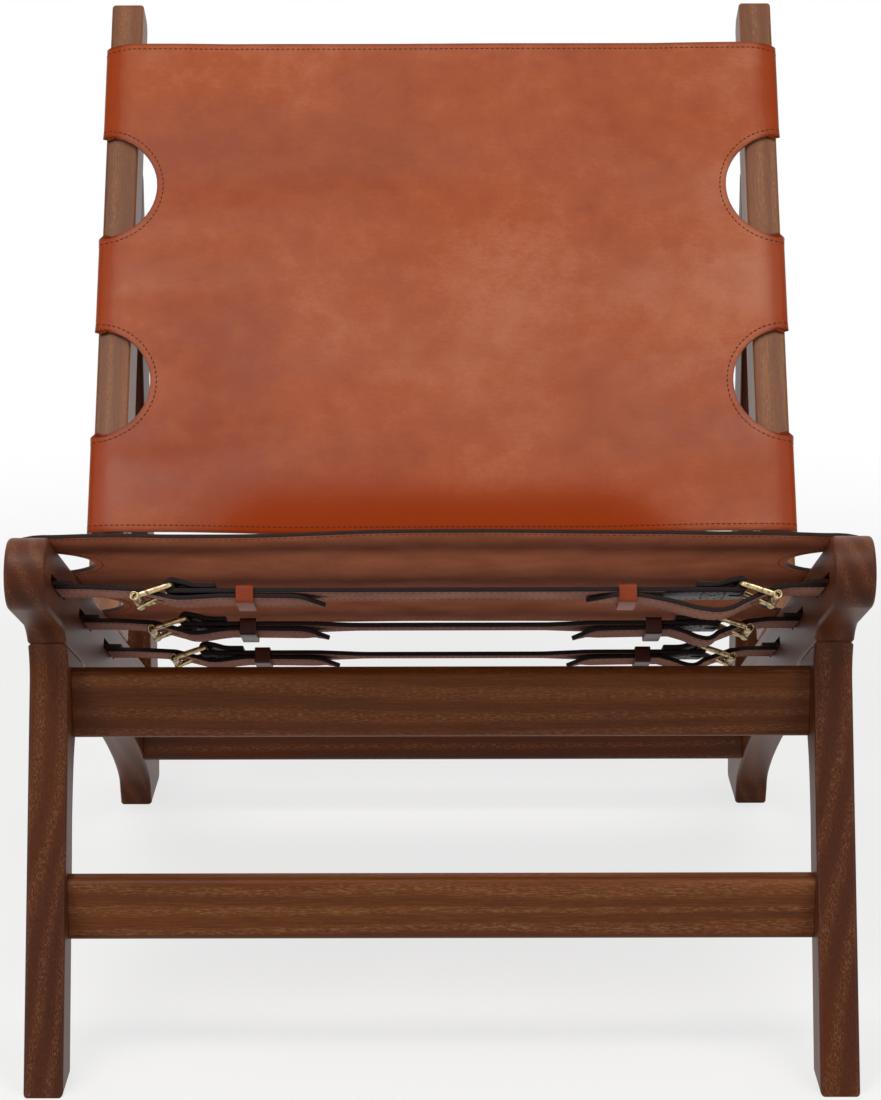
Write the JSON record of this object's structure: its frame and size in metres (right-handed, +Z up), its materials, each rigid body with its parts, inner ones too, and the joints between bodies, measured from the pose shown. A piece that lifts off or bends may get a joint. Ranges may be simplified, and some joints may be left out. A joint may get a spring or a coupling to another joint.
{
  "type": "sling lounge chair",
  "caption": "Low armless lounge chair: sawn timber side frames and crossrails carry a seat and a back of thick leather, drawn tight by buckled straps.",
  "frame": {"origin": "on the floor, under the middle of the chair's outer box", "axes": "+X across the chair, to the right as seen from the front; +Y from front to back; +Z up"},
  "size_m": [0.6586, 0.8542, 0.7835],
  "materials": {
    "walnut": "satin",
    "saddle_leather": "satin",
    "strap_leather": "matte",
    "keeper_leather": "satin",
    "brass": "aged satin"
  },
  "bodies": {
    "frame": {"seat_rail_left": "walnut", "front_leg_left": "walnut", "back_post_left": "walnut", "rear_strut_left": "walnut", "seat_rail_right": "walnut", "front_leg_right": "walnut", "back_post_right": "walnut", "rear_strut_right": "walnut", "front_upper_rail": "walnut", "front_lower_rail": "walnut", "rear_stretcher": "walnut", "back_rail": "walnut", "seat_middle_strap_1": "strap_leather", "seat_buckle_1_left": "brass", "seat_buckle_1_right": "brass", "seat_middle_strap_2": "strap_leather", "seat_buckle_2_left": "brass", "seat_buckle_2_right": "brass", "seat_middle_strap_3": "strap_leather", "seat_buckle_3_left": "brass", "seat_buckle_3_right": "brass", "seat_sling": "saddle_leather", "back_middle_strap_1": "strap_leather", "back_buckle_1_left": "brass", "back_buckle_1_right": "brass", "back_middle_strap_2": "strap_leather", "back_buckle_2_left": "brass", "back_buckle_2_right": "brass", "back_middle_strap_3": "strap_leather", "back_buckle_3_left": "brass", "back_buckle_3_right": "brass", "back_sling": "saddle_leather"},
    "seat_prong_1_left": {"seat_prong_1_left": "brass"},
    "seat_keeper_1_left": {"seat_keeper_1_left": "keeper_leather"},
    "seat_prong_1_right": {"seat_prong_1_right": "brass"},
    "seat_keeper_1_right": {"seat_keeper_1_right": "keeper_leather"},
    "seat_prong_2_left": {"seat_prong_2_left": "brass"},
    "seat_keeper_2_left": {"seat_keeper_2_left": "keeper_leather"},
    "seat_prong_2_right": {"seat_prong_2_right": "brass"},
    "seat_keeper_2_right": {"seat_keeper_2_right": "keeper_leather"},
    "seat_prong_3_left": {"seat_prong_3_left": "brass"},
    "seat_keeper_3_left": {"seat_keeper_3_left": "keeper_leather"},
    "seat_prong_3_right": {"seat_prong_3_right": "brass"},
    "seat_keeper_3_right": {"seat_keeper_3_right": "keeper_leather"},
    "back_prong_1_left": {"back_prong_1_left": "brass"},
    "back_keeper_1_left": {"back_keeper_1_left": "keeper_leather"},
    "back_prong_1_right": {"back_prong_1_right": "brass"},
    "back_keeper_1_right": {"back_keeper_1_right": "keeper_leather"},
    "back_prong_2_left": {"back_prong_2_left": "brass"},
    "back_keeper_2_left": {"back_keeper_2_left": "keeper_leather"},
    "back_prong_2_right": {"back_prong_2_right": "brass"},
    "back_keeper_2_right": {"back_keeper_2_right": "keeper_leather"},
    "back_prong_3_left": {"back_prong_3_left": "brass"},
    "back_keeper_3_left": {"back_keeper_3_left": "keeper_leather"},
    "back_prong_3_right": {"back_prong_3_right": "brass"},
    "back_keeper_3_right": {"back_keeper_3_right": "keeper_leather"}
  },
  "joints": [
    {"name": "seat_prong_1_left_turn", "type": "hinge", "parent": "frame", "child": "seat_prong_1_left", "pos_m": [-0.205, -0.34744, 0.38748], "axis": [0, -0.9085, 0.4179], "range_deg": [0, 4]},
    {"name": "seat_keeper_1_left_slide", "type": "slide", "parent": "frame", "child": "seat_keeper_1_left", "axis": [-1, 0, 0], "range_m": [-0.03625, 0.012]},
    {"name": "seat_prong_1_right_turn", "type": "hinge", "parent": "frame", "child": "seat_prong_1_right", "pos_m": [0.229, -0.34744, 0.38748], "axis": [0, 0.9085, -0.4179], "range_deg": [0, 4]},
    {"name": "seat_keeper_1_right_slide", "type": "slide", "parent": "frame", "child": "seat_keeper_1_right", "axis": [1, 0, 0], "range_m": [-0.00625, 0.042]},
    {"name": "seat_prong_2_left_turn", "type": "hinge", "parent": "frame", "child": "seat_prong_2_left", "pos_m": [-0.209, -0.19753, 0.31853], "axis": [0, -0.9085, 0.4179], "range_deg": [0, 4]},
    {"name": "seat_keeper_2_left_slide", "type": "slide", "parent": "frame", "child": "seat_keeper_2_left", "axis": [-1, 0, 0], "range_m": [-0.04125, 0.007]},
    {"name": "seat_prong_2_right_turn", "type": "hinge", "parent": "frame", "child": "seat_prong_2_right", "pos_m": [0.225, -0.19753, 0.31853], "axis": [0, 0.9085, -0.4179], "range_deg": [0, 4]},
    {"name": "seat_keeper_2_right_slide", "type": "slide", "parent": "frame", "child": "seat_keeper_2_right", "axis": [1, 0, 0], "range_m": [-0.04125, 0.007]},
    {"name": "seat_prong_3_left_turn", "type": "hinge", "parent": "frame", "child": "seat_prong_3_left", "pos_m": [-0.207, -0.04763, 0.24958], "axis": [0, -0.9085, 0.4179], "range_deg": [0, 4]},
    {"name": "seat_keeper_3_left_slide", "type": "slide", "parent": "frame", "child": "seat_keeper_3_left", "axis": [-1, 0, 0], "range_m": [-0.04225, 0.006]},
    {"name": "seat_prong_3_right_turn", "type": "hinge", "parent": "frame", "child": "seat_prong_3_right", "pos_m": [0.227, -0.04763, 0.24958], "axis": [0, 0.9085, -0.4179], "range_deg": [0, 4]},
    {"name": "seat_keeper_3_right_slide", "type": "slide", "parent": "frame", "child": "seat_keeper_3_right", "axis": [1, 0, 0], "range_m": [-0.04125, 0.007]},
    {"name": "back_prong_1_left_turn", "type": "hinge", "parent": "frame", "child": "back_prong_1_left", "pos_m": [-0.217, 0.13676, 0.3476], "axis": [0, -0.5548, -0.832], "range_deg": [0, 4]},
    {"name": "back_keeper_1_left_slide", "type": "slide", "parent": "frame", "child": "back_keeper_1_left", "axis": [-1, 0, 0], "range_m": [-0.04125, 0.007]},
    {"name": "back_prong_1_right_turn", "type": "hinge", "parent": "frame", "child": "back_prong_1_right", "pos_m": [0.217, 0.13676, 0.3476], "axis": [0, 0.5548, 0.832], "range_deg": [0, 4]},
    {"name": "back_keeper_1_right_slide", "type": "slide", "parent": "frame", "child": "back_keeper_1_right", "axis": [1, 0, 0], "range_m": [-0.03625, 0.012]},
    {"name": "back_prong_2_left_turn", "type": "hinge", "parent": "frame", "child": "back_prong_2_left", "pos_m": [-0.212, 0.24949, 0.51662], "axis": [0, -0.5548, -0.832], "range_deg": [0, 4]},
    {"name": "back_keeper_2_left_slide", "type": "slide", "parent": "frame", "child": "back_keeper_2_left", "axis": [-1, 0, 0], "range_m": [-0.03625, 0.012]},
    {"name": "back_prong_2_right_turn", "type": "hinge", "parent": "frame", "child": "back_prong_2_right", "pos_m": [0.222, 0.24949, 0.51662], "axis": [0, 0.5548, 0.832], "range_deg": [0, 4]},
    {"name": "back_keeper_2_right_slide", "type": "slide", "parent": "frame", "child": "back_keeper_2_right", "axis": [1, 0, 0], "range_m": [-0.04125, 0.007]},
    {"name": "back_prong_3_left_turn", "type": "hinge", "parent": "frame", "child": "back_prong_3_left", "pos_m": [-0.217, 0.36334, 0.68733], "axis": [0, -0.5548, -0.832], "range_deg": [0, 4]},
    {"name": "back_keeper_3_left_slide", "type": "slide", "parent": "frame", "child": "back_keeper_3_left", "axis": [-1, 0, 0], "range_m": [-0.04125, 0.007]},
    {"name": "back_prong_3_right_turn", "type": "hinge", "parent": "frame", "child": "back_prong_3_right", "pos_m": [0.217, 0.36334, 0.68733], "axis": [0, 0.5548, 0.832], "range_deg": [0, 4]},
    {"name": "back_keeper_3_right_slide", "type": "slide", "parent": "frame", "child": "back_keeper_3_right", "axis": [1, 0, 0], "range_m": [-0.03825, 0.01]}
  ]
}
